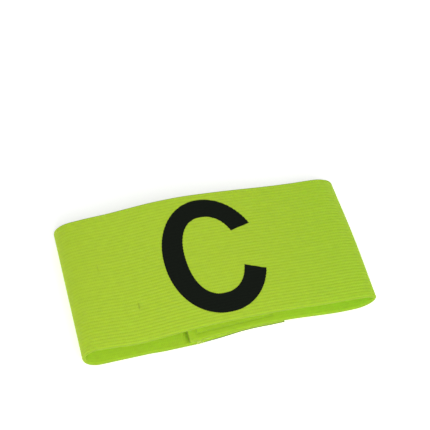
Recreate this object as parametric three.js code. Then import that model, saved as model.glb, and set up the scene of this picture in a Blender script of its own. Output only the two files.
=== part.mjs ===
// A captain's armband: one strip of wide ribbed elastic webbing, wrapped once round with its ends
// overlapped and held by a hook-and-loop closure, and laid flat with its open side to the front.
// Millimetres. X runs along the laid band, Y from its front edge to its back edge, Z up.
import * as THREE from "three";

// The webbing and the loop that it makes
const WEBBING_WIDTH = 75;
const WEBBING_THICKNESS = 1.5;
const LAID_LENGTH = 150;
const LOOP_HEIGHT = 22;

// The overlap under the loop: the outer end lies against the table, the inner end on top of it.
// Towards its cut end the outer end rises and stands out sideways, both building up over a run.
const OUTER_END = 27.5;
const OVERLAP = 50;
const OUTER_END_LIFT = 1.2;
const OUTER_END_SKEW = 1.6;
const OUTER_END_LEVEL = 9.5;
const OUTER_END_RUN = 32;

// The closure between the two ends, and the free space left round each piece
const TAPE_THICKNESS = 1;
const TAPE_END_MARGIN = 2.5;
const TAPE_EDGE_MARGIN = 1;
const CLEARANCE = 0.3;

// The letter, a film on the upper ply
const LETTER_HEIGHT = 66.6;
const LETTER_WIDTH = 50.4;
const LETTER_SIDE_STROKE = 11;
const LETTER_TOP_STROKE = 10.5;
const LETTER_TIP_STROKE = 10;
const LETTER_THICKNESS = 0.4;
const LETTER_FULLNESS = 2.15;

// Outer face of the upper ply. placeShare is X as a share of the laid length; frontShare and
// backShare are the heights at the front and back edges, as shares of the loop height.
const CROWN = [
  { placeShare: -0.44, frontShare: 0.718, backShare: 0.832 },
  { placeShare: -0.38, frontShare: 0.668, backShare: 0.864 },
  { placeShare: -0.32, frontShare: 0.608, backShare: 0.877 },
  { placeShare: -0.24, frontShare: 0.645, backShare: 0.927 },
  { placeShare: -0.16, frontShare: 0.709, backShare: 0.973 },
  { placeShare: -0.06, frontShare: 0.75, backShare: 0.973 },
  { placeShare: 0.04, frontShare: 0.743, backShare: 0.905 },
  { placeShare: 0.14, frontShare: 0.714, backShare: 0.809 },
  { placeShare: 0.24, frontShare: 0.641, backShare: 0.7 },
  { placeShare: 0.34, frontShare: 0.559, backShare: 0.614 },
  { placeShare: 0.413, frontShare: 0.523, backShare: 0.577 },
];

// Each fold leaves the lower ply at lowerShare and meets the upper ply at upperShare of the laid
// length. Its tip stands at these shares of the loop height at the front and back edges.
const FOLDS = {
  right: { lowerShare: 0.427, upperShare: 0.413, frontShare: 0.34, backShare: 0.19 },
  left: { lowerShare: -0.44, upperShare: -0.44, frontShare: 0.42, backShare: 0.48 },
};

// Where the inner ply comes down to the table beyond the outer end, as a share of the laid length
const LANDING_SHARE = 0.407;

// Where the letter's stroke starts and stops, round its outer and inner edges
const LETTER_ENDS = {
  upper: { outerDegrees: 28, innerDegrees: 33 },
  lower: { outerDegrees: 339, innerDegrees: 338.5 },
};

// Steps along each stretch of the strip, across its width and round the letter
const OVERLAP_STEPS = 12;
const DESCENT_STEPS = 8;
const FOLD_QUARTER_STEPS = 10;
const CROWN_STEPS = 44;
const RISE_STEPS = 10;
const WIDTH_STEPS = 4;
const LETTER_STEPS = 60;

// A quarter ellipse's handles, as a share of its run
const HANDLE_SHARE = 0.5523;

// The stretch of the upper ply that its slope into a fold is read from
const SLOPE_RUN = 1;

const { lerp, smoothstep, degToRad } = THREE.MathUtils;

const crownCurve = new THREE.CubicInterpolant(
  CROWN.map((row) => row.placeShare * LAID_LENGTH),
  CROWN.flatMap((row) => [row.frontShare * LOOP_HEIGHT, row.backShare * LOOP_HEIGHT]),
  2,
  new Float64Array(2),
);

// Height of the upper ply's outer face at x, at a share of the way from the front edge to the back
function crownHeight(x, share) {
  const [front, back] = crownCurve.evaluate(x);
  return lerp(front, back, share);
}

// How much of the outer end's lift and skew has built up at x, from 0 to 1
const riseEnd = OUTER_END - OUTER_END_LEVEL;
const riseStart = riseEnd - OUTER_END_RUN;
const builtUp = (x) => smoothstep(x, riseStart, riseEnd);

// Heights of the outer faces of the two plies of the overlap, and of the inner ply beyond it
const outerPlyHeight = (x) => OUTER_END_LIFT * builtUp(x);
const plySpacing = WEBBING_THICKNESS + CLEARANCE + TAPE_THICKNESS + CLEARANCE;
const innerPlyHeight = (x) => outerPlyHeight(x) + plySpacing;
const landing = LANDING_SHARE * LAID_LENGTH;
const descentHeight = (x) => innerPlyHeight(OUTER_END) * (1 - smoothstep(x, OUTER_END, landing));

// Steps from one value to the next, without the first
function stepsBetween(from, to, count) {
  return Array.from({ length: count }, (_, step) => lerp(from, to, (step + 1) / count));
}

// A quarter of a fold, from a point on a ply to the fold's tip, leaving the ply along its slope
function foldQuarter(start, slope, tip) {
  const run = tip.x - start.x;
  const rise = tip.z - start.z;
  return new THREE.CubicBezierCurve3(
    start,
    new THREE.Vector3(start.x + run * HANDLE_SHARE, 0, start.z + run * HANDLE_SHARE * slope),
    new THREE.Vector3(tip.x, 0, tip.z - rise * HANDLE_SHARE),
    tip,
  ).getPoints(FOLD_QUARTER_STEPS);
}

// A fold's quarters below and above its tip, both from the ply to the tip. side is 1 on the right
// and -1 on the left.
function foldCurves(fold, side, share) {
  const tipHeight = lerp(fold.frontShare, fold.backShare, share) * LOOP_HEIGHT;
  const tip = new THREE.Vector3((side * LAID_LENGTH) / 2, 0, tipHeight);
  const below = new THREE.Vector3(fold.lowerShare * LAID_LENGTH, 0, 0);
  const x = fold.upperShare * LAID_LENGTH;
  const above = new THREE.Vector3(x, 0, crownHeight(x, share));
  const fall = above.z - crownHeight(x - side * SLOPE_RUN, share);
  return {
    below: foldQuarter(below, 0, tip),
    above: foldQuarter(above, (side * fall) / SLOPE_RUN, tip),
  };
}

// Outer face of the strip at a share of the way from the front edge to the back, from the inner end
// once round to the outer end. A point's y is how far the strip is shifted sideways there.
function stripPath(share) {
  const right = foldCurves(FOLDS.right, 1, share);
  const left = foldCurves(FOLDS.left, -1, share);
  const innerEnd = OUTER_END - OVERLAP;
  const line = (from, to, count, height, shift = () => 0) =>
    stepsBetween(from, to, count).map((x) => new THREE.Vector3(x, shift(x), height(x)));
  return [
    new THREE.Vector3(innerEnd, 0, innerPlyHeight(innerEnd)),
    ...line(innerEnd, OUTER_END, OVERLAP_STEPS, innerPlyHeight),
    ...line(OUTER_END, landing, DESCENT_STEPS, descentHeight),
    ...right.below,
    ...right.above.reverse().slice(1),
    ...line(right.above.at(-1).x, left.above[0].x, CROWN_STEPS, (x) => crownHeight(x, share)),
    ...left.above.slice(1),
    ...left.below.reverse().slice(1),
    new THREE.Vector3(riseStart, 0, 0),
    ...line(riseStart, OUTER_END, RISE_STEPS, outerPlyHeight, (x) => OUTER_END_SKEW * builtUp(x)),
  ];
}

// Unit normals of a path in XZ, to its left: into the loop
function normals(path) {
  return path.map((_, i) => {
    const before = path[Math.max(i - 1, 0)];
    const after = path[Math.min(i + 1, path.length - 1)];
    return new THREE.Vector3(before.z - after.z, 0, after.x - before.x).normalize();
  });
}

// A closed solid through rings of points. A ring's first half lies on the outer face, from front to
// back, and its second half on the inner face, from back to front.
function loft(rings) {
  const count = rings[0].length;
  const last = (rings.length - 1) * count;
  const index = [];
  const quad = (a, b, c, d) => index.push(a, b, c, a, c, d);
  for (let start = 0; start < last; start += count) {
    for (let k = 0; k < count; k++) {
      const next = (k + 1) % count;
      quad(start + k, start + next, start + count + next, start + count + k);
    }
  }
  for (let k = 0; k + 1 < count / 2; k++) {
    const across = count - 1 - k;
    quad(k, across, across - 1, k + 1);
    quad(last + k, last + k + 1, last + across - 1, last + across);
  }
  const geometry = new THREE.BufferGeometry();
  const positions = rings.flat().flatMap((p) => [p.x, p.y, p.z]);
  geometry.setAttribute("position", new THREE.Float32BufferAttribute(positions, 3));
  geometry.setIndex(index);
  geometry.computeVertexNormals();
  return geometry;
}

// Shares from 0 to 1 across the webbing
const shares = Array.from({ length: WIDTH_STEPS + 1 }, (_, step) => step / WIDTH_STEPS);

function bandGeometry() {
  const rows = shares.map((share) => {
    const path = stripPath(share);
    const into = normals(path);
    const row = new THREE.Vector3(0, (share - 0.5) * WEBBING_WIDTH, 0);
    const face = (depth) => path.map((p, i) => p.clone().addScaledVector(into[i], depth).add(row));
    return { outer: face(0), inner: face(WEBBING_THICKNESS) };
  });
  const rings = rows[0].outer.map((_, i) => [
    ...rows.map((row) => row.outer[i]),
    ...rows.map((row) => row.inner[i]).reverse(),
  ]);
  return loft(rings);
}

function tapeGeometry() {
  const start = OUTER_END - OVERLAP + TAPE_END_MARGIN;
  const end = OUTER_END - TAPE_END_MARGIN;
  const width = WEBBING_WIDTH - 2 * TAPE_EDGE_MARGIN;
  const rings = [start, ...stepsBetween(start, end, OVERLAP_STEPS)].map((x) => {
    const bottom = outerPlyHeight(x) + WEBBING_THICKNESS + CLEARANCE;
    const face = (z) =>
      shares.map((share) => {
        return new THREE.Vector3(x, (share - 0.5) * width + OUTER_END_SKEW * builtUp(x), z);
      });
    return [...face(bottom), ...face(bottom + TAPE_THICKNESS).reverse()];
  });
  return loft(rings);
}

// A point on an oval that is a little fuller than an ellipse, with its own half width on each side
function oval(angle, right, left, halfHeight) {
  const power = 2 / LETTER_FULLNESS;
  const c = Math.cos(angle);
  const s = Math.sin(angle);
  const halfWidth = c > 0 ? right : left;
  return new THREE.Vector2(
    Math.sign(c) * Math.abs(c) ** power * halfWidth,
    Math.sign(s) * Math.abs(s) ** power * halfHeight,
  );
}

function letterGeometry() {
  const halfWidth = LETTER_WIDTH / 2;
  const halfHeight = LETTER_HEIGHT / 2;
  const draped = (p, height) => {
    const share = p.y / WEBBING_WIDTH + 0.5;
    return new THREE.Vector3(p.x, p.y, crownHeight(p.x, share) + CLEARANCE + height);
  };
  const rings = [0, ...stepsBetween(0, 1, LETTER_STEPS)].map((round) => {
    const angle = (edge) => degToRad(lerp(LETTER_ENDS.upper[edge], LETTER_ENDS.lower[edge], round));
    const outer = oval(angle("outerDegrees"), halfWidth, halfWidth, halfHeight);
    const inner = oval(
      angle("innerDegrees"),
      halfWidth - LETTER_TIP_STROKE,
      halfWidth - LETTER_SIDE_STROKE,
      halfHeight - LETTER_TOP_STROKE,
    );
    const stroke = [outer, outer.clone().lerp(inner, 0.5), inner];
    return [
      ...stroke.map((p) => draped(p, 0)),
      ...stroke.map((p) => draped(p, LETTER_THICKNESS)).reverse(),
    ];
  });
  return loft(rings);
}

const webbingFinish = new THREE.MeshStandardMaterial({
  name: "lime ribbed elastic",
  color: 0xa7c738,
  roughness: 0.85,
  metalness: 0,
});
const tapeFinish = new THREE.MeshStandardMaterial({
  name: "hook-and-loop tape",
  color: 0xb9d46a,
  roughness: 0.9,
  metalness: 0,
});
const letterFinish = new THREE.MeshStandardMaterial({
  name: "black print",
  color: 0x171c15,
  roughness: 0.6,
  metalness: 0,
});

function piece(name, geometry, material) {
  const mesh = new THREE.Mesh(geometry, material);
  mesh.name = name;
  return mesh;
}

const armband = new THREE.Group();
armband.name = "captain_armband";
armband.add(
  piece("elastic_band", bandGeometry(), webbingFinish),
  piece("closure_tape", tapeGeometry(), tapeFinish),
  piece("captain_letter", letterGeometry(), letterFinish),
);
// The outer end stands out behind by its skew, so the whole is moved forward to centre it
armband.position.y = -OUTER_END_SKEW / 2;

export default armband;
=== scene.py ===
# A captain's armband: a loop of wide lime green ribbed elastic, closed by a hook-and-loop overlap and
# laid flat with its open side to the front. Metres. X runs along the laid band, Y to the back, Z up.
import math

import bpy
import numpy as np
from mathutils import Matrix, Vector


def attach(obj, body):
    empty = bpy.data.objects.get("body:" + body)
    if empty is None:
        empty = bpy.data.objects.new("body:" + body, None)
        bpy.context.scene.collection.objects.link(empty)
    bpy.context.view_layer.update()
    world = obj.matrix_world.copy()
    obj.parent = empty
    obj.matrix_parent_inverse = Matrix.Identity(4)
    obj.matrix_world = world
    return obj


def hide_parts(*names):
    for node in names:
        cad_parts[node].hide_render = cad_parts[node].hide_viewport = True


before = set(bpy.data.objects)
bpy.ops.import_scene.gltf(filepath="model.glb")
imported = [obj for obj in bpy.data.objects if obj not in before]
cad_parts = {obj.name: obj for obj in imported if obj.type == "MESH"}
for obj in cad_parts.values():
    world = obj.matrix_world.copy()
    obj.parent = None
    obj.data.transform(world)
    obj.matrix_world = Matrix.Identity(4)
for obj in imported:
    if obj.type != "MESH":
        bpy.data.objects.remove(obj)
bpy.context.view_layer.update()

# Camera
# It looks at the open side from the front, a little from the left and from well above the table,
# through a long lens.
CAMERA_PLACE = Vector((-0.1005, -0.3763, 0.6086))
TURNED_RIGHT = math.radians(15.061)
LOOKING_DOWN = math.radians(54.994)
TIPPED = math.radians(0.858)
PICTURE_PIXELS = 430
FOCAL_PIXELS = 1409.0
SENSOR_MM = 36.0
NEAREST_SEEN = 0.02
FURTHEST_SEEN = 20

camera = bpy.data.objects.new("camera", bpy.data.cameras.new("camera"))
bpy.context.collection.objects.link(camera)
camera.data.sensor_width = SENSOR_MM
camera.data.lens = FOCAL_PIXELS * SENSOR_MM / PICTURE_PIXELS
camera.data.clip_start = NEAREST_SEEN
camera.data.clip_end = FURTHEST_SEEN
camera.matrix_world = (
    Matrix.Translation(CAMERA_PLACE)
    @ Matrix.Rotation(-TURNED_RIGHT, 4, "Z")
    @ Matrix.Rotation(math.pi / 2 - LOOKING_DOWN, 4, "X")
    @ Matrix.Rotation(TIPPED, 4, "Z")
)
bpy.context.scene.camera = camera

# Table and light
# A white light table in a white room, and one large soft lamp in front, low enough to reach into
# the open side.
TABLE_SIDE = 8.0
TABLE_COLOUR = (0.93, 0.93, 0.93, 1)
TABLE_ROUGHNESS = 0.9
TABLE_SHINE = 0.2
TABLE_GLOW = 0.5
WHITE = (1, 1, 1, 1)
ROOM_BRIGHTNESS = 0.4
LAMP_PLACE = Vector((0.05, -1.05, 0.85))
LAMP_SIDE = 1.0
LAMP_WATTS = 12.4

half = TABLE_SIDE / 2
table_mesh = bpy.data.meshes.new("table")
corners = [(-half, -half, 0), (half, -half, 0), (half, half, 0), (-half, half, 0)]
table_mesh.from_pydata(corners, [], [(0, 1, 2, 3)])
table = bpy.data.objects.new("table", table_mesh)
bpy.context.collection.objects.link(table)
table_finish = bpy.data.materials.new("matt white table")
table_finish.use_nodes = True
table_shader = table_finish.node_tree.nodes["Principled BSDF"]
table_shader.inputs["Base Color"].default_value = TABLE_COLOUR
table_shader.inputs["Roughness"].default_value = TABLE_ROUGHNESS
table_shader.inputs["Specular IOR Level"].default_value = TABLE_SHINE
table_shader.inputs["Emission Color"].default_value = WHITE
table_shader.inputs["Emission Strength"].default_value = TABLE_GLOW
table_mesh.materials.append(table_finish)

room = bpy.data.worlds.new("white room")
room.use_nodes = True
room.node_tree.nodes["Background"].inputs["Color"].default_value = WHITE
room.node_tree.nodes["Background"].inputs["Strength"].default_value = ROOM_BRIGHTNESS
bpy.context.scene.world = room

lamp = bpy.data.objects.new("soft lamp", bpy.data.lights.new("soft lamp", "AREA"))
lamp.data.shape = "SQUARE"
lamp.data.size = LAMP_SIDE
lamp.data.energy = LAMP_WATTS
lamp.location = LAMP_PLACE
lamp.rotation_mode = "QUATERNION"
lamp.rotation_quaternion = (-LAMP_PLACE).to_track_quat("-Z", "Y")
bpy.context.collection.objects.link(lamp)

bpy.context.scene.view_settings.view_transform = "Standard"

# Webbing
# One strip of lime green elastic, woven with ribs along its length, each over a rubber core. It is
# cut from the roll with a hot knife and wrapped once round, its two ends overlapping underneath.
WEBBING_WIDTH = 0.075
WEBBING_THICKNESS = 0.0015
LAID_LENGTH = 0.150
LOOP_HEIGHT = 0.022

# The overlap: the outer end lies on the table, the inner end on top of it, with room for the
# closure. Towards its cut end the outer end rises and stands out behind, and its last stretch
# swings forward again.
OUTER_END = 0.0275
OVERLAP = 0.050
INNER_END = OUTER_END - OVERLAP
OUTER_END_LIFT = 0.0012
OUTER_END_SKEW = 0.0016
OUTER_END_LEVEL = 0.0095
OUTER_END_RUN = 0.032
SWING = 0.0008
SWING_START = 0.002
SWING_STOP = 0.022
CLOSURE_ROOM = 0.0016
DESCENT_LEAD = 0.005

# Outer face of the upper ply: place along the laid length, then the heights at the front and back
# edges as shares of the loop height
CROWN = (
    (-0.44, 0.718, 0.832),
    (-0.38, 0.668, 0.864),
    (-0.32, 0.608, 0.877),
    (-0.24, 0.645, 0.927),
    (-0.16, 0.709, 0.973),
    (-0.06, 0.75, 0.973),
    (0.04, 0.743, 0.905),
    (0.14, 0.714, 0.809),
    (0.24, 0.641, 0.7),
    (0.34, 0.559, 0.614),
    (0.413, 0.523, 0.577),
)
CROWN_PLACES, CROWN_FRONT, CROWN_BACK = (np.array(column) for column in zip(*CROWN))

# Each fold: where it leaves the lower ply and meets the upper one as shares of the laid length, and
# its tip's heights at the front and back edges as shares of the loop height. The right one swells
# between its edges and tucks in towards the back.
RIGHT_FOLD = {"lower": 0.427, "upper": 0.413, "front": 0.34, "back": 0.19}
LEFT_FOLD = {"lower": -0.44, "upper": -0.44, "front": 0.42, "back": 0.48}
LANDING = 0.407 * LAID_LENGTH
HANDLE_SHARE = 0.5523
SLOPE_RUN = 0.001
RIGHT_SWELL = 0.00045
RIGHT_TUCK = 0.0005
RIGHT_SWELL_RUN = 0.018


def through_points(places, values, x):
    """A smooth curve through points. Each point's slope is the mean of the slopes beside it."""
    run = np.diff(places)
    slope = np.diff(values) / run
    at = np.concatenate([slope[:1], (slope[1:] + slope[:-1]) / 2, slope[-1:]])
    i = np.clip(np.searchsorted(places, x, side="right") - 1, 0, len(run) - 1)
    p = (x - places[i]) / run[i]
    return (
        (1 + 2 * p) * (1 - p) ** 2 * values[i]
        + p * (1 - p) ** 2 * run[i] * at[i]
        + p**2 * (3 - 2 * p) * values[i + 1]
        + p**2 * (p - 1) * run[i] * at[i + 1]
    )


def crown_height(x, share):
    """Height of the upper ply's outer face at x, a share of the way from the front edge back."""
    front = through_points(CROWN_PLACES, CROWN_FRONT, x / LAID_LENGTH)
    back = through_points(CROWN_PLACES, CROWN_BACK, x / LAID_LENGTH)
    return LOOP_HEIGHT * (front + (back - front) * share)


def eased(x, start, end):
    """0 before start, 1 after end, and a smooth climb between them."""
    t = np.clip((x - start) / (end - start), 0, 1)
    return t * t * (3 - 2 * t)


def built_up(x):
    """How much of the outer end's lift and skew has built up at x."""
    level = OUTER_END - OUTER_END_LEVEL
    return eased(x, level - OUTER_END_RUN, level)


def outer_ply_aside(x):
    """How far behind the inner ply the outer end lies at x."""
    return OUTER_END_SKEW * built_up(x) - SWING * eased(x, SWING_START, SWING_STOP)


def inner_ply_aside(x):
    """The inner end lies straight, so it is nowhere aside."""
    return 0 * x


# The whole is centred over its footprint, and the lower plies wander a little further to the front
# about where the overlap begins
FORWARD = 0.0008
WANDER = 0.0004
WANDER_START = -0.042
WANDER_STOP = -0.010
WANDER_RUN = 0.008


def forward(x):
    """How far to the front the lower plies lie at x."""
    begun = eased(x, WANDER_START, WANDER_START + WANDER_RUN)
    return FORWARD + WANDER * begun * (1 - eased(x, WANDER_STOP - WANDER_RUN, WANDER_STOP))


def outer_ply_height(x):
    """Height of the outer ply's face that lies towards the table."""
    return OUTER_END_LIFT * built_up(x)


def inner_ply_height(x):
    """Height of the inner ply's outer face over the overlap, and down to the table beyond it."""
    spacing = WEBBING_THICKNESS + CLOSURE_ROOM
    above = outer_ply_height(np.minimum(x, OUTER_END)) + spacing
    return above * (1 - eased(x, OUTER_END - DESCENT_LEAD, LANDING))


# The inner end's cut is a little out of square, and its free margin curls up between its corners
CUT_SLANT = 0.0016
CUT_SLANT_RUN = 0.004
END_CURL = 0.0018
END_CURL_RUN = 0.0035
END_CURL_SPREAD = 0.011


def end_curl(x, across):
    """How far the free margin of the inner end stands up at x."""
    near_end = 1 - eased(x, INNER_END, INNER_END + END_CURL_RUN)
    to_edge = np.minimum(across, WEBBING_WIDTH - across)
    return END_CURL * near_end * eased(to_edge, 0, END_CURL_SPREAD)


def end_slant(x, across):
    """How far the inner end's slanted cut draws the strip along X near it."""
    near_end = 1 - eased(x, INNER_END, INNER_END + CUT_SLANT_RUN)
    return CUT_SLANT * (0.5 - across / WEBBING_WIDTH) * near_end


def fold_quarter(start, slope, tip, steps):
    """A quarter of a fold, from a point on a ply to the tip, leaving the ply along its slope."""
    t = np.linspace(0, 1, steps + 1)[:, None]
    run = tip[0] - start[0]
    rise = tip[1] - start[1]

    def along(a, b, c, d):
        return a * (1 - t) ** 3 + 3 * b * t * (1 - t) ** 2 + 3 * c * t**2 * (1 - t) + d * t**3

    x = along(start[0], start[0] + run * HANDLE_SHARE, tip[0], tip[0])
    z = along(
        start[1],
        start[1] + run * HANDLE_SHARE * slope,
        tip[1] - rise * HANDLE_SHARE,
        tip[1],
    )
    return x[:, 0], z


def fold(shape, side, share, steps):
    """A whole fold from the lower ply to the upper one, at each column. side is 1 at the right."""
    tip_share = shape["front"] + (shape["back"] - shape["front"]) * share
    tip = (side * LAID_LENGTH / 2, LOOP_HEIGHT * tip_share)
    upper = shape["upper"] * LAID_LENGTH
    end_height = crown_height(upper, share)
    slope = (end_height - crown_height(upper - side * SLOPE_RUN, share)) / (side * SLOPE_RUN)
    lower_x, lower_z = fold_quarter((shape["lower"] * LAID_LENGTH, 0 * share), 0, tip, steps)
    upper_x, upper_z = fold_quarter((upper, end_height), slope, tip, steps)
    return np.concatenate([lower_x, upper_x[-2::-1]]), np.concatenate([lower_z, upper_z[-2::-1]])


# The closure's seams: a rectangle of stitches round each tape, a little inside its edges, that
# presses the webbing thinner
TAPE_END_MARGIN = 0.0025
TAPE_EDGE_MARGIN = 0.001
SEAM_MARGIN = 0.003
SEAM_DENT = 0.0002
SEAM_DENT_REACH = 0.0007
TAPE_START = INNER_END + TAPE_END_MARGIN
TAPE_STOP = OUTER_END - TAPE_END_MARGIN
SEAM_ENDS = np.array([TAPE_START + SEAM_MARGIN, TAPE_STOP - SEAM_MARGIN])
SEAM_EDGES = np.array([1, -1]) * (TAPE_EDGE_MARGIN + SEAM_MARGIN) + (0, WEBBING_WIDTH)

# Two small places on the upper ply where a crosswise thread has been pulled tight: place along the
# band, middle and length across it from the front edge, and depth
SNAGS = ((-0.0423, 0.0197, 0.0036, 0.0003), (-0.0577, 0.0448, 0.0040, 0.00015))
SNAG_WIDTH = 0.0004
DEEPEST_SNAG = max(depth for _, _, _, depth in SNAGS)

RIBS = 43
RIB_PITCH = WEBBING_WIDTH / RIBS
RIB_RELIEF = 0.00016
INNER_RELIEF_SHARE = 0.25
EDGE_ROUND = 0.0006
END_ROUND = 0.0004
LEAST_THICKNESS = 0.0002

# Where the mesh has its points: shares of a rib's pitch, distances from the edges, the cut ends, the
# seams and the pulled threads, and the spacing elsewhere
RIB_SAMPLES = (0, 0.17, 0.5, 0.83)
EDGE_SAMPLES = (0.00004, 0.00015)
END_SAMPLES = np.array([0.00005, 0.00015, 0.0004, 0.001])
SEAM_SAMPLES = SEAM_DENT_REACH * np.array([-1.5, -0.75, 0, 0.75, 1.5])
SNAG_SAMPLES = SNAG_WIDTH * np.array([-1.5, -0.8, 0, 0.8, 1.5])
FOLD_STEPS = 12
CROWN_SPACING = 0.002
LOWER_SPACING = 0.002
SHARP_ANGLE = math.radians(60)


def rib_sink(across):
    """How far the surface lies below the ribs' crests, across the webbing from its front edge."""
    return RIB_RELIEF * (0.5 + 0.5 * np.cos(2 * math.pi * across / RIB_PITCH)) ** 2


def spaced(start, end, spacing):
    """Places from start to end, as near to this spacing as fits."""
    return np.linspace(start, end, round(abs(end - start) / spacing) + 1)


def strip_stations(share):
    """Stations along the strip from its inner end once round to its outer end: places along X,
    heights of the outer face at each column, and the name of the ply that each belongs to."""
    seams = (SEAM_ENDS[:, None] + SEAM_SAMPLES).ravel()
    inner = np.union1d(spaced(INNER_END, OUTER_END, LOWER_SPACING), seams)
    inner = np.union1d(inner, INNER_END + END_SAMPLES)
    curl = end_curl(inner[:, None], share * WEBBING_WIDTH)
    descent = spaced(OUTER_END, LANDING, LOWER_SPACING)[1:]
    level = spaced(LEFT_FOLD["lower"] * LAID_LENGTH, OUTER_END, LOWER_SPACING)[1:]
    outer = np.union1d(np.union1d(level, seams), OUTER_END - END_SAMPLES)
    snags = (np.array([snag[0] for snag in SNAGS])[:, None] + SNAG_SAMPLES).ravel()
    crown_start = LEFT_FOLD["upper"] * LAID_LENGTH
    crown_stop = RIGHT_FOLD["upper"] * LAID_LENGTH
    crown = np.union1d(spaced(crown_start, crown_stop, CROWN_SPACING), snags)[-2:0:-1]
    right_x, right_z = fold(RIGHT_FOLD, 1, share, FOLD_STEPS)
    left_x, left_z = fold(LEFT_FOLD, -1, share, FOLD_STEPS)
    flat = np.ones_like(share)
    stretches = [
        (inner, inner_ply_height(inner)[:, None] + curl, "inner"),
        (descent, inner_ply_height(descent)[:, None] * flat, ""),
        (right_x, right_z, ""),
        (crown, crown_height(crown[:, None], share), "crown"),
        (left_x[::-1], left_z[::-1], ""),
        (outer, outer_ply_height(outer)[:, None] * flat, "outer"),
    ]
    x = np.concatenate([s[0] for s in stretches])
    z = np.concatenate([s[1] for s in stretches])
    ply = np.concatenate([np.full(len(s[0]), s[2]) for s in stretches])
    return x, z, ply


def rounded(distance, radius):
    """Fullness of the thickness at a distance from an edge that is rounded over the radius."""
    return np.sqrt(1 - (1 - np.clip(distance / radius, 0, 1)) ** 2)


def seam_distance(x, across):
    """Distance to the rectangle of stitches round a tape."""
    middle = np.array([SEAM_ENDS.mean(), SEAM_EDGES.mean()])
    beyond_ends = np.abs(x - middle[0]) - np.ptp(SEAM_ENDS) / 2
    beyond_edges = np.abs(across - middle[1]) - np.ptp(SEAM_EDGES) / 2
    return np.abs(np.maximum(beyond_ends, beyond_edges))


def both_faces(there, back):
    """Rings of values that run along one face from edge to edge and come back along the other."""
    return np.concatenate([there, back[:, ::-1]], axis=1)


def built(name, points, faces, material):
    """A piece made of these points and faces, smooth except at its sharp edges."""
    mesh = bpy.data.meshes.new(name)
    mesh.from_pydata(points.reshape(-1, 3).tolist(), [], faces)
    mesh.shade_smooth()
    mesh.set_sharp_from_angle(angle=SHARP_ANGLE)
    mesh.materials.append(material)
    piece = bpy.data.objects.new(name, mesh)
    bpy.context.collection.objects.link(piece)
    return piece


def closed_strip(name, rings, material):
    """A closed piece through rings of points, as both_faces gives them, with its ends filled."""
    stations, count, _ = rings.shape
    k = np.arange(count)
    after = (k + 1) % count
    start = np.arange(stations - 1)[:, None] * count
    sides = np.stack([start + k, start + after, start + count + after, start + count + k], -1)
    half = np.arange(count // 2 - 1)
    across = count - 1 - half
    last = (stations - 1) * count
    near = np.stack([half, across, across - 1, half + 1], -1)
    far = np.stack([half, half + 1, across - 1, across], -1) + last
    faces = np.concatenate([sides.reshape(-1, 4), near, far])
    return built(name, rings, faces.tolist(), material)


def lay_map(piece, along, across):
    """Keeps each vertex's place on the cloth, in metres along and across it, on both faces."""
    place = np.stack(np.broadcast_arrays(along, across), -1)
    coordinates = both_faces(place, place).reshape(-1, 2)
    layer = piece.data.uv_layers.new(name="cloth")
    corners = np.zeros(len(piece.data.loops), np.int32)
    piece.data.loops.foreach_get("vertex_index", corners)
    layer.uv.foreach_set("vector", coordinates[corners].astype(np.float32).ravel())


class Finish:
    """A material in the making: its node tree and its Principled shader."""

    def __init__(self, name, colour, roughness, shine):
        self.material = bpy.data.materials.new(name)
        self.material.use_nodes = True
        self.tree = self.material.node_tree
        self.shader = self.tree.nodes["Principled BSDF"]
        self.shader.inputs["Base Color"].default_value = (*colour, 1)
        self.shader.inputs["Roughness"].default_value = roughness
        self.shader.inputs["Specular IOR Level"].default_value = shine

    def node(self, kind, settings=(), **inputs):
        """A node with its settings and inputs. An input is a value or another node's output."""
        made = self.tree.nodes.new("ShaderNode" + kind)
        for name, value in dict(settings).items():
            setattr(made, name, value)
        for name, value in inputs.items():
            socket = made.inputs[int(name[1:]) if name[1:].isdigit() else name.replace("_", " ")]
            if isinstance(value, bpy.types.NodeSocket):
                self.tree.links.new(value, socket)
            else:
                socket.default_value = value
        return made

    def math(self, operation, a, b=0.0):
        """One step of arithmetic on values or on other nodes' outputs."""
        return self.node("Math", {"operation": operation}, _0=a, _1=b).outputs[0]

    def wave(self, place, pitch, shift=0.0):
        """Goes from 0 to 1 and back once in each pitch along a place given in metres."""
        turns = self.math("MULTIPLY", place, 2 * math.pi / pitch)
        swing = self.math("COSINE", self.math("ADD", turns, shift))
        return self.math("MULTIPLY_ADD", swing, 0.5)

    def noise(self, place, scale, detail):
        """Soft random patches, so many to a metre, with finer ones in them as detail rises."""
        return self.node("TexNoise", Vector=place, Scale=scale, Detail=detail).outputs[0]

    def ramp(self, value, start=0.0, end=1.0, low=0.0, high=1.0):
        """Goes from low to high as a value goes from start to end, and no further."""
        limits = {"From_Min": start, "From_Max": end, "To_Min": low, "To_Max": high}
        return self.node("MapRange", Value=value, **limits).outputs[0]

    def blend(self, share, first, second):
        """A colour that goes from the first to the second as a share goes from 0 to 1."""
        return self.node("Mix", {"data_type": "RGBA"}, _0=share, _6=first, _7=second).outputs[2]

    def paint(self, colour, tone):
        """Gives the surface a colour, lighter or darker by a tone."""
        toned = self.node("VectorMath", {"operation": "SCALE"}, _0=colour, Scale=tone)
        self.tree.links.new(toned.outputs[0], self.shader.inputs["Base Color"])

    def emboss(self, height, strength, depth):
        """Gives the surface a fine relief."""
        bump = self.node("Bump", Strength=strength, Distance=depth, Height=height)
        self.tree.links.new(bump.outputs[0], self.shader.inputs["Normal"])


def cloth_place(finish):
    """The place on the cloth, along and across it, from the map that lay_map keeps."""
    mapped = finish.node("UVMap", {"uv_map": "cloth"}).outputs["UV"]
    split = finish.node("SeparateXYZ", Vector=mapped)
    return mapped, split.outputs["X"], split.outputs["Y"]


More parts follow.
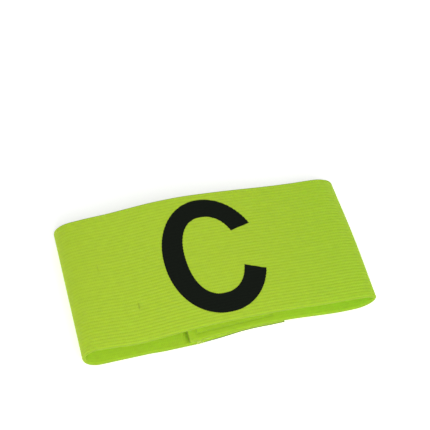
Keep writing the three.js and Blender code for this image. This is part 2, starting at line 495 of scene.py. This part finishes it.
# The dye, with painted light that turns it more green about one place along the strip, by the
# right fold. A mottle is patches to a metre and their detail, and tones are the darkest and the
# lightest that it makes.
WEBBING_COLOUR = (0.521, 0.743, 0.0347)
RIGHT_FOLD_PAINTED_LIGHT_COLOUR = (0.469, 0.743, 0.0305)
RIGHT_FOLD_PAINTED_LIGHT_PLACE = 0.0985
RIGHT_FOLD_PAINTED_LIGHT_REACH = 0.07
DYE_MOTTLE = (260.0, 3.0)
DYE_TONES = (0.94, 1.06)
# Painted shade on the selvedges, where they face the lamp: a darker colour, and how far in from each
# edge it reaches
SELVEDGE_PAINTED_SHADE_COLOUR = (0.3, 0.46, 0.02)
SELVEDGE_PAINTED_SHADE_REACH = (0.0001, 0.0007)

# Painted shade in the grooves between ribs, darker in patches, of which there are so many to a
# metre along and across
GROOVE_PAINTED_SHADE = 0.06
GROOVE_PAINTED_SHADE_PATCHES = (340.0, 620.0, 0.0)
GROOVE_PAINTED_SHADE_RANGE = (0.35, 0.65)

# The weave: crosswise picks that slant over each rib, fine yarns along it, and their fuzz
PICK_PITCH = 0.00085
PICK_SLANT = 2.2
# Painted shading on the picks, their tone rising and falling with them
PICK_PAINTED_SHADING_TONES = (0.97, 1.03)
YARN_PITCH = 0.00029
YARN_HEIGHT = 0.35
FUZZ = (5200.0, 2.0)
FUZZ_HEIGHT = 0.6
WEAVE_STRENGTH = 0.8
WEAVE_DEPTH = 0.00005

# Painted shade in the pulled threads and along the front edge of the outer end, and the cut ends
# darker with their melt from the hot knife and with painted shade
SNAG_PAINTED_SHADE = 0.25
EDGE_PAINTED_SHADE_START = -0.020
EDGE_PAINTED_SHADE_RUN = 0.012
EDGE_PAINTED_SHADE_REACH = 0.0011
EDGE_PAINTED_SHADE_DARKNESS = 0.75
CUT_MELT_AND_PAINTED_SHADE_REACH = 0.0013
CUT_MELT_AND_PAINTED_SHADE = 0.4

WEBBING_ROUGHNESS = 0.85
WEBBING_SHINE = 0.45
LIGHT_THROUGH = 0.6
LIGHT_REACH = 0.001
LIGHT_REACH_SHARES = (1.3, 1.4, 0.15)


def webbing_finish(cut_length):
    """Matt lime yarn that lets some light through: slanted picks over each rib with painted shading
    on them, fine yarns along it, painted shade in patches of the grooves, a slightly uneven dye with
    painted light that turns it more green about the right fold, painted shade on the selvedges, in
    the pulled threads and along the outer end's front edge, and cut ends darker with their melt and
    painted shade."""
    finish = Finish("lime ribbed elastic", WEBBING_COLOUR, WEBBING_ROUGHNESS, WEBBING_SHINE)
    finish.shader.inputs["Subsurface Weight"].default_value = LIGHT_THROUGH
    finish.shader.inputs["Subsurface Scale"].default_value = LIGHT_REACH
    finish.shader.inputs["Subsurface Radius"].default_value = LIGHT_REACH_SHARES
    mapped, along, across = cloth_place(finish)

    # Painted shade in the grooves between ribs, stronger in some patches
    groove = finish.wave(across, RIB_PITCH)
    stretched = finish.node("VectorMath", {"operation": "MULTIPLY"}, _0=mapped, _1=GROOVE_PAINTED_SHADE_PATCHES)
    painted_shade_patches = finish.ramp(finish.noise(stretched.outputs[0], 1.0, 1.0), *GROOVE_PAINTED_SHADE_RANGE)
    groove_painted_shade = finish.math("MULTIPLY", finish.math("MULTIPLY", groove, painted_shade_patches), GROOVE_PAINTED_SHADE)
    shade = finish.math("SUBTRACT", 1.0, groove_painted_shade)

    picks = finish.wave(along, PICK_PITCH, finish.math("MULTIPLY", groove, PICK_SLANT))
    yarns = finish.wave(across, YARN_PITCH)
    dye = finish.ramp(finish.noise(mapped, *DYE_MOTTLE), 0.0, 1.0, *DYE_TONES)
    # Painted shading on the picks
    pick_painted_shading = finish.ramp(picks, 0.0, 1.0, *PICK_PAINTED_SHADING_TONES)

    # Painted light: the colour turns more green about the right fold
    away = finish.math("ABSOLUTE", finish.math("SUBTRACT", along, RIGHT_FOLD_PAINTED_LIGHT_PLACE))
    right_fold_painted_light = finish.ramp(away, 0.0, RIGHT_FOLD_PAINTED_LIGHT_REACH, 1.0, 0.0)
    dye_and_painted_light = finish.blend(right_fold_painted_light, (*WEBBING_COLOUR, 1), (*RIGHT_FOLD_PAINTED_LIGHT_COLOUR, 1))
    to_edge = finish.math("MINIMUM", across, finish.math("SUBTRACT", WEBBING_WIDTH, across))
    # Painted shade on the selvedges
    dye_with_painted_edge_shade = finish.blend(finish.ramp(to_edge, *SELVEDGE_PAINTED_SHADE_REACH), (*SELVEDGE_PAINTED_SHADE_COLOUR, 1), dye_and_painted_light)

    # Painted shade from a point attribute, in the pulled threads and along the outer end's front edge
    painted_shade_marks = finish.node("Attribute", {"attribute_name": "painted_shade_marks"}).outputs["Fac"]
    darker = finish.math("SUBTRACT", 1.0, painted_shade_marks)
    to_end = finish.math("MINIMUM", along, finish.math("SUBTRACT", cut_length, along))
    # The cut ends darker: their melt from the hot knife, together with painted shade at the cuts
    cut_melt_and_painted_shade = finish.ramp(to_end, 0.0, CUT_MELT_AND_PAINTED_SHADE_REACH, CUT_MELT_AND_PAINTED_SHADE)
    tone = finish.math("MULTIPLY", finish.math("MULTIPLY", shade, dye), pick_painted_shading)
    tone = finish.math("MULTIPLY", tone, finish.math("MULTIPLY", darker, cut_melt_and_painted_shade))
    finish.paint(dye_with_painted_edge_shade, tone)

    relief = finish.math("ADD", picks, finish.math("MULTIPLY", yarns, YARN_HEIGHT))
    fuzz = finish.math("MULTIPLY", finish.noise(mapped, *FUZZ), FUZZ_HEIGHT)
    finish.emboss(finish.math("ADD", relief, fuzz), WEAVE_STRENGTH, WEAVE_DEPTH)
    return finish.material


places = (np.arange(RIBS)[:, None] + RIB_SAMPLES).ravel() * RIB_PITCH
places = np.union1d(np.append(places, WEBBING_WIDTH), EDGE_SAMPLES)
across = np.union1d(places, WEBBING_WIDTH - np.array(EDGE_SAMPLES))
x, z, ply = strip_stations(across / WEBBING_WIDTH)
lower_plies = (ply == "inner") | (ply == "outer")
aside = np.where(ply == "outer", outer_ply_aside(x), 0) - np.where(lower_plies, forward(x), FORWARD)

# Directions into the loop, and lengths along the middle of the thickness
step_x = np.gradient(x)[:, None]
step_z = np.gradient(z, axis=0)
run = np.hypot(step_x, step_z)
into = np.stack([-step_z / run, step_x / run])
middle = np.array([x[:, None] + into[0] * WEBBING_THICKNESS / 2, z + into[1] * WEBBING_THICKNESS / 2])
lengths = np.hypot(*np.diff(middle[:, :, len(across) // 2], axis=1))
along = np.concatenate([[0], np.cumsum(lengths)])
cut_length = along[-1]

# How far the seams and the pulled threads press the surface in, and how full the thickness is
dent = SEAM_DENT * np.exp(-((seam_distance(x[:, None], across) / SEAM_DENT_REACH) ** 2))
dent = np.where(lower_plies[:, None], dent, 0)
pulled = np.zeros_like(dent)
for place, centre, length, depth in SNAGS:
    off_line = ((x[:, None] - place) / SNAG_WIDTH) ** 2
    off_centre = ((across - centre) / (length / 2)) ** 4
    pulled += (ply == "crown")[:, None] * depth * np.exp(-off_line - off_centre)
to_edge = np.minimum(across, WEBBING_WIDTH - across)
to_end = np.minimum(along, cut_length - along)[:, None]
fullness = rounded(to_edge, EDGE_ROUND) * rounded(to_end, END_ROUND)


def half_thickness(relief_share):
    """Half the thickness at a face whose ribs have this share of the outer face's relief."""
    full = WEBBING_THICKNESS / 2 - dent - relief_share * rib_sink(across)
    return np.maximum(full * fullness, LEAST_THICKNESS / 2)


def webbing_face(depth):
    """Points of a face of the strip at these depths from the ribs' outer crests."""
    y = across - WEBBING_WIDTH / 2 + aside[:, None]
    slant = np.where((ply == "inner")[:, None], end_slant(x[:, None], across), 0)
    share = across / WEBBING_WIDTH
    swell = RIGHT_SWELL * np.sin(math.pi * share) ** 2 - RIGHT_TUCK * share**3
    swell = swell * eased(x[:, None], LAID_LENGTH / 2 - RIGHT_SWELL_RUN, LAID_LENGTH / 2)
    return np.stack([x[:, None] + slant + swell + into[0] * depth, y, z + into[1] * depth], -1)


outer_face = webbing_face(WEBBING_THICKNESS / 2 - half_thickness(1) + pulled)
inner_face = webbing_face(WEBBING_THICKNESS / 2 + half_thickness(INNER_RELIEF_SHARE))
webbing_rings = both_faces(outer_face, inner_face)
webbing = closed_strip("ribbed_webbing", webbing_rings, webbing_finish(cut_length))
lay_map(webbing, along[:, None], across)

# Painted shade on the outer face, in the pulled threads and along the front edge of the outer end.
# On the inner face this edge shade only touches the very edge.
snag_painted_shade = SNAG_PAINTED_SHADE * pulled / DEEPEST_SNAG
# Painted shade along the front edge of the outer end, where it meets the table
edge_painted_shade_share = (ply == "outer") * eased(x, EDGE_PAINTED_SHADE_START, EDGE_PAINTED_SHADE_START + EDGE_PAINTED_SHADE_RUN)
edge_painted_shade = EDGE_PAINTED_SHADE_DARKNESS * edge_painted_shade_share[:, None] * (1 - eased(across, 0, EDGE_PAINTED_SHADE_REACH))
rim_painted_shade = edge_painted_shade * (across < EDGE_SAMPLES[1] / 2)
painted_shade_marks = webbing.data.attributes.new("painted_shade_marks", "FLOAT", "POINT")
painted_shade_marks.data.foreach_set("value", both_faces(snag_painted_shade + edge_painted_shade, rim_painted_shade).ravel())

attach(webbing, "root")
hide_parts("elastic_band")

# Tapes
# The closure: a pale lime nylon tape of tiny stiff hooks, sewn on the inner face of the outer end,
# and a tape of soft loops, sewn on the inner end. They are pressed together between the ends.
TAPE_BACKING = 0.00045
TAPE_FRONT = -WEBBING_WIDTH / 2 + TAPE_EDGE_MARGIN
TAPE_EDGE_ROUND = 0.00012
TAPE_LEAST_SHARE = 0.2
TAPE_EDGE_SAMPLES = (0.00003, 0.00012)
TAPE_SPACING = 0.0015
TAPE_SEAM_DENT = 0.00012
TAPE_COLOUR = (0.485, 0.658, 0.144)
TAPE_MOTTLE = (900.0, 2.0)
TAPE_TONES = (0.88, 1.12)
TAPE_ROUGHNESS = 0.6
TAPE_SHINE = 0.35
WARP_PITCH = 0.0004
WEFT_PITCH = 0.00045
TAPE_WEAVE_STRENGTH = 0.7
TAPE_WEAVE_DEPTH = 0.00004


def tape_finish():
    """Pale lime nylon, a little glossy, in a close plain weave."""
    finish = Finish("pale lime nylon tape", TAPE_COLOUR, TAPE_ROUGHNESS, TAPE_SHINE)
    mapped, along, across = cloth_place(finish)
    finish.paint(TAPE_COLOUR, finish.ramp(finish.noise(mapped, *TAPE_MOTTLE), 0.0, 1.0, *TAPE_TONES))
    weave = finish.math("MAXIMUM", finish.wave(along, WARP_PITCH), finish.wave(across, WEFT_PITCH))
    finish.emboss(weave, TAPE_WEAVE_STRENGTH, TAPE_WEAVE_DEPTH)
    return finish.material


def hook_tape_underside(x):
    """The hook tape lies on top of the outer end."""
    return outer_ply_height(x) + WEBBING_THICKNESS


def loop_tape_underside(x):
    """The loop tape hangs under the inner end."""
    return inner_ply_height(x) - TAPE_BACKING


def tape_backing(name, underside, aside, material):
    """A tape's woven backing. underside gives its height at x, and aside how far back it lies."""
    edge = np.array([0, *TAPE_EDGE_SAMPLES])
    length = TAPE_STOP - TAPE_START
    width = WEBBING_WIDTH - 2 * TAPE_EDGE_MARGIN
    along = np.union1d(spaced(0, length, TAPE_SPACING), [edge, length - edge])
    across = np.union1d(spaced(0, width, TAPE_SPACING), [edge, width - edge])
    x = TAPE_START + along[:, None]
    on_webbing = TAPE_EDGE_MARGIN + across
    to_end = np.minimum(along, length - along)[:, None]
    to_rim = np.minimum(to_end, np.minimum(across, width - across))
    dent = TAPE_SEAM_DENT * np.exp(-((seam_distance(x, on_webbing) / SEAM_DENT_REACH) ** 2))
    fullness = np.maximum(rounded(to_rim, TAPE_EDGE_ROUND), TAPE_LEAST_SHARE)
    half = (TAPE_BACKING / 2 - dent) * fullness
    middle = underside(x) + TAPE_BACKING / 2
    y = on_webbing - WEBBING_WIDTH / 2 + aside(x) - forward(x)
    lower = np.stack(np.broadcast_arrays(x, y, middle - half), -1)
    upper = np.stack(np.broadcast_arrays(x, y, middle + half), -1)
    tape = closed_strip(name, both_faces(lower, upper), material)
    lay_map(tape, along[:, None], across)
    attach(tape, "root")
    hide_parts("closure_tape")


pale_lime = tape_finish()
tape_backing("hook_tape", hook_tape_underside, outer_ply_aside, pale_lime)
tape_backing("loop_tape", loop_tape_underside, inner_ply_aside, pale_lime)

# Hooks
# Stiff nylon hooks that stand in rows on the hook tape, each row turned against the next one. Only
# the rows near the tape's rim can be seen, so only they are made.
HOOK_PITCH_ALONG = 0.0009
HOOK_PITCH_ACROSS = 0.0011
HOOK_RADIUS = 0.00007
HOOK_SIDES = 5
HOOK_HEIGHT = 0.0006
HOOK_RIM = 0.0038
HOOK_COLOUR = (0.60, 0.72, 0.30)
HOOK_ROUGHNESS = 0.35

# A hook from its root in the backing to its tip: how far forward and up, as shares of its height
HOOK_SHAPE = np.array([(0, -0.1), (0, 0.45), (0.06, 0.76), (0.22, 0.94), (0.42, 0.9), (0.5, 0.68)])

# The finish that the hooks, the loops, the loose ends and the sewing thread share but for colour and
# roughness
FILAMENT_SHINE = 0.5
FILAMENT_MOTTLE = (1500.0, 2.0)
FILAMENT_TONES = (0.85, 1.15)


def tubes(name, paths, normals, radius, sides, material):
    """One piece of many closed round threads. Each path lies in the plane of its normal."""
    count, steps, _ = paths.shape
    tangent = np.gradient(paths, axis=1)
    tangent /= np.linalg.norm(tangent, axis=2, keepdims=True)
    side = np.broadcast_to(normals[:, None, :], paths.shape)
    up = np.cross(tangent, side)
    turn = 2 * math.pi * np.arange(sides) / sides
    ring = side[:, :, None] * np.cos(turn)[:, None] + up[:, :, None] * np.sin(turn)[:, None]
    points = paths[:, :, None] + radius * ring
    k = np.arange(sides)
    after = (k + 1) % sides
    start = (np.arange(count)[:, None] * steps + np.arange(steps - 1)) * sides
    start = start.reshape(-1, 1)
    walls = np.stack([start + k, start + after, start + sides + after, start + sides + k], -1)
    first = np.arange(count)[:, None] * steps * sides
    faces = walls.reshape(-1, 4).tolist()
    faces += (first + k[::-1]).tolist()
    faces += (first + (steps - 1) * sides + k).tolist()
    return built(name, points, faces, material)


def filament_finish(name, colour, roughness):
    """Smooth tinted filament, slightly mottled."""
    finish = Finish(name, colour, roughness, FILAMENT_SHINE)
    place = finish.node("TexCoord").outputs["Object"]
    finish.paint(colour, finish.ramp(finish.noise(place, *FILAMENT_MOTTLE), 0.0, 1.0, *FILAMENT_TONES))
    return finish.material


def inside_rim(x, y):
    """How far inside a tape's rim a place lies."""
    half_x = (TAPE_STOP - TAPE_START) / 2
    half_y = WEBBING_WIDTH / 2 - TAPE_EDGE_MARGIN
    return np.minimum(half_x - np.abs(x - TAPE_START - half_x), half_y - np.abs(y))


def hook_rows():
    """Paths of the hooks in their rows near the rim, and the normals of their planes."""
    x = np.arange(TAPE_START + HOOK_PITCH_ALONG / 2, TAPE_STOP, HOOK_PITCH_ALONG)
    y = np.arange(TAPE_FRONT + HOOK_RADIUS, WEBBING_WIDTH / 2, HOOK_PITCH_ACROSS)
    facing = np.where(np.arange(len(x)) % 2, 1, -1)
    x, y = np.meshgrid(x, y, indexing="ij")
    facing = np.broadcast_to(facing[:, None], x.shape)
    to_rim = inside_rim(x, y)
    kept = (to_rim > HOOK_RADIUS / 2) & (to_rim < HOOK_RIM)
    x, y, facing = x[kept], y[kept], facing[kept]
    top = hook_tape_underside(x) + TAPE_BACKING
    y = y + outer_ply_aside(x) - forward(x)
    reach = HOOK_SHAPE[:, 0] * HOOK_HEIGHT * facing[:, None]
    rise = np.broadcast_to(HOOK_SHAPE[:, 1] * HOOK_HEIGHT, reach.shape)
    paths = np.stack([x[:, None] + reach, y[:, None] + 0 * reach, top[:, None] + rise], -1)
    return paths, np.tile((0.0, 1.0, 0.0), (len(x), 1))


hook_paths, hook_normals = hook_rows()
hook_nylon = filament_finish("stiff hook nylon", HOOK_COLOUR, HOOK_ROUGHNESS)
hooks = tubes("hooks", hook_paths, hook_normals, HOOK_RADIUS, HOOK_SIDES, hook_nylon)
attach(hooks, "root")
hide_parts("closure_tape")

# Frayed corner
# A few of the hook tape's clear nylon warp ends have come loose at its cut front edge. They fan out
# of the gap near the inner end and catch the light.
FRAY_START = -0.0176
FRAY_PITCH = 0.00019
FRAY_ENDS = 12
FRAY_LENGTH = 0.0022
FRAY_FAN = 0.5
FRAY_CENTRE = 0.4
FRAY_RISE = 0.0006
FRAY_RADIUS = 0.00011
FRAY_SIDES = 6
FRAY_STEPS = 8
FRAY_COLOUR = (0.84, 0.93, 0.27)
FRAY_ROUGHNESS = 0.3

# How uneven the ends are, and how far the length, the fan and the rise turn from each to the next
FRAY_UNEVEN = 0.2
LENGTH_TURN = 2.3
FAN_TURN = 4.1
RISE_TURN = 1.7

order = np.arange(FRAY_ENDS)
fray_x = FRAY_START + order * FRAY_PITCH
fray_y = TAPE_FRONT + outer_ply_aside(fray_x) - forward(fray_x)
fray_z = hook_tape_underside(fray_x) + TAPE_BACKING / 2
out = np.linspace(0, 1, FRAY_STEPS)
length_share = 1 - FRAY_UNEVEN + FRAY_UNEVEN * np.cos(LENGTH_TURN * order)
reach = FRAY_LENGTH * length_share[:, None] * out
fan_share = order / (FRAY_ENDS - 1) - FRAY_CENTRE + FRAY_UNEVEN * np.sin(FAN_TURN * order)
fan = FRAY_FAN * fan_share[:, None]
bow = FRAY_RISE * np.cos(RISE_TURN * order)[:, None] * np.sin(math.pi * out)
rise = bow + FRAY_RISE * out
fray_paths = np.stack(
    [fray_x[:, None] + fan * reach, fray_y[:, None] - reach, fray_z[:, None] + rise], -1
)
fray_normals = np.tile((1.0, 0.0, 0.0), (FRAY_ENDS, 1))
fray_nylon = filament_finish("clear loose nylon", FRAY_COLOUR, FRAY_ROUGHNESS)
fray = tubes("frayed_corner", fray_paths, fray_normals, FRAY_RADIUS, FRAY_SIDES, fray_nylon)
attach(fray, "root")
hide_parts("closure_tape")

# Loop pile
# Soft fine loops that hang from the loop tape in every direction and catch the hooks. They too are
# made only near the tape's rim.
LOOP_DENSITY = 2.2e6
LOOP_RADIUS = 0.00004
LOOP_SIDES = 4
LOOP_STEPS = 7
LOOP_INSET = 0.0002
LOOP_RIM = 0.0032
LOOP_ROOT = 0.00005
LOOP_SPREAD = (0.0004, 0.0007)
LOOP_DROP = (0.0004, 0.00058)
LOOP_SEED = 7
LOOP_COLOUR = (0.50, 0.68, 0.16)
LOOP_ROUGHNESS = 0.6


def loop_pile():
    """Paths of the loops near the rim, and the normals of their planes."""
    chance = np.random.default_rng(LOOP_SEED)
    width = WEBBING_WIDTH - 2 * TAPE_EDGE_MARGIN
    total = round(LOOP_DENSITY * (TAPE_STOP - TAPE_START) * width)
    x = chance.uniform(TAPE_START, TAPE_STOP, total)
    y = chance.uniform(-width / 2, width / 2, total)
    to_rim = inside_rim(x, y)
    kept = (to_rim > LOOP_INSET) & (to_rim < LOOP_RIM)
    x, y = x[kept], y[kept]
    turned = chance.uniform(0, math.pi, len(x))
    spread = chance.uniform(*LOOP_SPREAD, len(x))
    drop = chance.uniform(*LOOP_DROP, len(x))
    swing = np.linspace(0, math.pi, LOOP_STEPS)
    out = -np.cos(swing) * spread[:, None] / 2
    down = np.sin(swing) * drop[:, None] - LOOP_ROOT
    top = loop_tape_underside(x)
    paths = np.stack(
        [
            x[:, None] + out * np.cos(turned)[:, None],
            (y - forward(x))[:, None] + out * np.sin(turned)[:, None],
            top[:, None] - down,
        ],
        -1,
    )
    normals = np.stack([-np.sin(turned), np.cos(turned), 0 * turned], -1)
    return paths, normals


loop_paths, loop_normals = loop_pile()
loop_nylon = filament_finish("soft loop nylon", LOOP_COLOUR, LOOP_ROUGHNESS)
loops = tubes("loop_pile", loop_paths, loop_normals, LOOP_RADIUS, LOOP_SIDES, loop_nylon)
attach(loops, "root")
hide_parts("closure_tape")

# Seams
# Lime polyester thread, sewn in a rectangle through each tape and the end that carries it. Its
# stitches show on the inner end's inner face, and on the underside.
STITCH_LENGTH = 0.0024
STITCH_GAP = 0.0003
STITCH_STEPS = 9
STITCH_FLATNESS = 6
THREAD_RADIUS = 0.00013
THREAD_SIDES = 8
THREAD_DIP = 0.0003
THREAD_SUNK_SHARE = 0.3
THREAD_COLOUR = (0.42, 0.62, 0.05)
THREAD_ROUGHNESS = 0.55


def inner_end_top(x):
    """Height of the inner end's face that lies inside the loop."""
    return inner_ply_height(x) + WEBBING_THICKNESS


def seam_places():
    """Where each stitch starts and stops, as places along X and across the webbing."""
    corners = [(SEAM_ENDS[i], SEAM_EDGES[j]) for i, j in ((0, 0), (1, 0), (1, 1), (0, 1), (0, 0))]
    starts, stops = [], []
    for a, b in zip(np.array(corners[:-1]), np.array(corners[1:])):
        count = round(np.linalg.norm(b - a) / STITCH_LENGTH)
        inset = STITCH_GAP / 2 / np.linalg.norm(b - a)
        share = np.arange(count)[:, None] / count
        starts.append(a + (b - a) * (share + inset))
        stops.append(a + (b - a) * (share + 1 / count - inset))
    return np.concatenate(starts), np.concatenate(stops)


def seam(name, height, side, aside):
    """The stitches on one face. height is that face's crest along x, side is 1 if it faces up.
    Each stitch lies flat along its middle and dips into the webbing at both of its ends."""
    starts, stops = seam_places()
    t = np.linspace(0, 1, STITCH_STEPS)[:, None]
    places = starts[:, None] + (stops - starts)[:, None] * t
    x, across = places[..., 0], places[..., 1]
    dip = THREAD_DIP * (2 * t[:, 0] - 1) ** STITCH_FLATNESS
    below = SEAM_DENT - THREAD_RADIUS * THREAD_SUNK_SHARE + dip
    y = across - WEBBING_WIDTH / 2 + aside(x) - forward(x)
    paths = np.stack([x, y, height(x) - side * below], -1)
    run = (stops - starts) / np.linalg.norm(stops - starts, axis=1, keepdims=True)
    normals = np.stack([-run[:, 1], run[:, 0], 0 * run[:, 0]], -1)
    stitches = tubes(name, paths, normals, THREAD_RADIUS, THREAD_SIDES, sewing_thread)
    stitches.parent = webbing


sewing_thread = filament_finish("lime sewing thread", THREAD_COLOUR, THREAD_ROUGHNESS)
seam("seam_inside", inner_end_top, 1, inner_ply_aside)
seam("seam_underneath", outer_ply_height, -1, outer_ply_aside)

# Printed letter
# A plain C, the mark of a captain, pressed on the upper ply in a thin matt black film. The film
# lies down into the ribs, and its edge is a little uneven where it bridges from yarn to yarn.
LETTER_CENTRE = (0.0004, 0.0002)
LETTER_HALF_WIDTH = 0.0254
LETTER_HALF_HEIGHT = 0.0333
LETTER_FULLNESS = 2.07
LETTER_TURNED = math.radians(2.2)

# The counter, the open space inside the C, bulges a little more to the right than to the left
COUNTER_CENTRE = (-0.0004, 0.0005)
COUNTER_RIGHT = 0.01495
COUNTER_LEFT = 0.01365
COUNTER_HALF_HEIGHT = 0.0226
COUNTER_FULLNESS = 2.25

# Degrees round each oval at which the C's upper and lower ends are cut
LETTER_ENDS = (25.5, 337.2)
COUNTER_ENDS = (28.7, 338.5)

FILM_THICKNESS = 0.00012
FILM_ROOT = 0.00006
FILM_EDGE_ROUND = 0.00008
FILM_EDGE_SAMPLES = np.array([0.003, 0.009])
FILM_SETTLING = 0.9
FILM_STEPS_ROUND = 800
FILM_STEPS_ACROSS = 34
TOOTH = 0.00007
INK_COLOUR = (0.0088, 0.0118, 0.0082)
INK_MOTTLE = (900.0, 3.0)
INK_TONES = (0.8, 1.2)
INK_ROUGHNESS = 0.9
INK_SHINE = 0.06
INK_FUZZ = (6000.0, 2.0)
INK_FUZZ_HEIGHT = 0.8
INK_RELIEF_STRENGTH = 0.5
INK_RELIEF_DEPTH = 0.00004


def oval_edge(ends, centre, right, left, half_height, fullness):
    """An edge of the C from its upper end round to its lower one, on an oval that is a little
    fuller than an ellipse, turned as the letter is."""
    angle = np.radians(np.linspace(*ends, FILM_STEPS_ROUND))
    c = np.cos(angle)
    s = np.sin(angle)
    x = centre[0] + np.sign(c) * np.abs(c) ** (2 / fullness) * np.where(c > 0, right, left)
    y = centre[1] + np.sign(s) * np.abs(s) ** (2 / fullness) * half_height
    turn_c = math.cos(LETTER_TURNED)
    turn_s = math.sin(LETTER_TURNED)
    return np.stack([x * turn_c - y * turn_s, x * turn_s + y * turn_c], -1)


def toothed(outline):
    """The outline with its small teeth, where it crosses the ribs and the picks."""
    tangent = np.gradient(outline, axis=0)
    tangent /= np.linalg.norm(tangent, axis=1, keepdims=True)
    normal = np.stack([-tangent[:, 1], tangent[:, 0]], -1)
    from_edge = outline[:, 1] + WEBBING_WIDTH / 2
    over_ribs = np.cos(2 * math.pi * from_edge / RIB_PITCH) * normal[:, 0] ** 2
    over_picks = np.cos(2 * math.pi * outline[:, 0] / PICK_PITCH) * normal[:, 1] ** 2
    return outline + TOOTH * normal * (over_ribs + over_picks)[:, None]


def ink_finish():
    """Matt black film that shows the yarns under it faintly."""
    finish = Finish("matt black film", INK_COLOUR, INK_ROUGHNESS, INK_SHINE)
    mapped, along, across = cloth_place(finish)
    finish.paint(INK_COLOUR, finish.ramp(finish.noise(mapped, *INK_MOTTLE), 0.0, 1.0, *INK_TONES))
    slant = finish.math("MULTIPLY", finish.wave(across, RIB_PITCH), PICK_SLANT)
    picks = finish.wave(along, PICK_PITCH, slant)
    fuzz = finish.math("MULTIPLY", finish.noise(mapped, *INK_FUZZ), INK_FUZZ_HEIGHT)
    finish.emboss(finish.math("ADD", picks, fuzz), INK_RELIEF_STRENGTH, INK_RELIEF_DEPTH)
    return finish.material


letter_sides = (LETTER_HALF_WIDTH, LETTER_HALF_WIDTH, LETTER_HALF_HEIGHT)
counter_sides = (COUNTER_RIGHT, COUNTER_LEFT, COUNTER_HALF_HEIGHT)
outer_edge = toothed(oval_edge(LETTER_ENDS, LETTER_CENTRE, *letter_sides, LETTER_FULLNESS))
inner_edge = toothed(oval_edge(COUNTER_ENDS, COUNTER_CENTRE, *counter_sides, COUNTER_FULLNESS))
film_edges = [FILM_EDGE_SAMPLES, 1 - FILM_EDGE_SAMPLES]
stroke_share = np.union1d(np.linspace(0, 1, FILM_STEPS_ACROSS), film_edges)
film = outer_edge[:, None] + (inner_edge - outer_edge)[:, None] * stroke_share[:, None]
film_x = film[..., 0]
film_y = film[..., 1] - FORWARD
film_across = film[..., 1] + WEBBING_WIDTH / 2
crest = crown_height(film_x, film_across / WEBBING_WIDTH)
stroke_width = np.linalg.norm(inner_edge - outer_edge, axis=1)[:, None]
to_edge = np.minimum(stroke_share, 1 - stroke_share) * stroke_width
thick = FILM_THICKNESS * rounded(to_edge, FILM_EDGE_ROUND)
over = np.stack([film_x, film_y, crest - FILM_SETTLING * rib_sink(film_across) + thick], -1)
under = np.stack([film_x, film_y, crest - rib_sink(film_across) - FILM_ROOT], -1)
letter = closed_strip("printed_letter", both_faces(under, over), ink_finish())
lay_map(letter, film_x, film_across)
letter.parent = webbing
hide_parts("captain_letter")
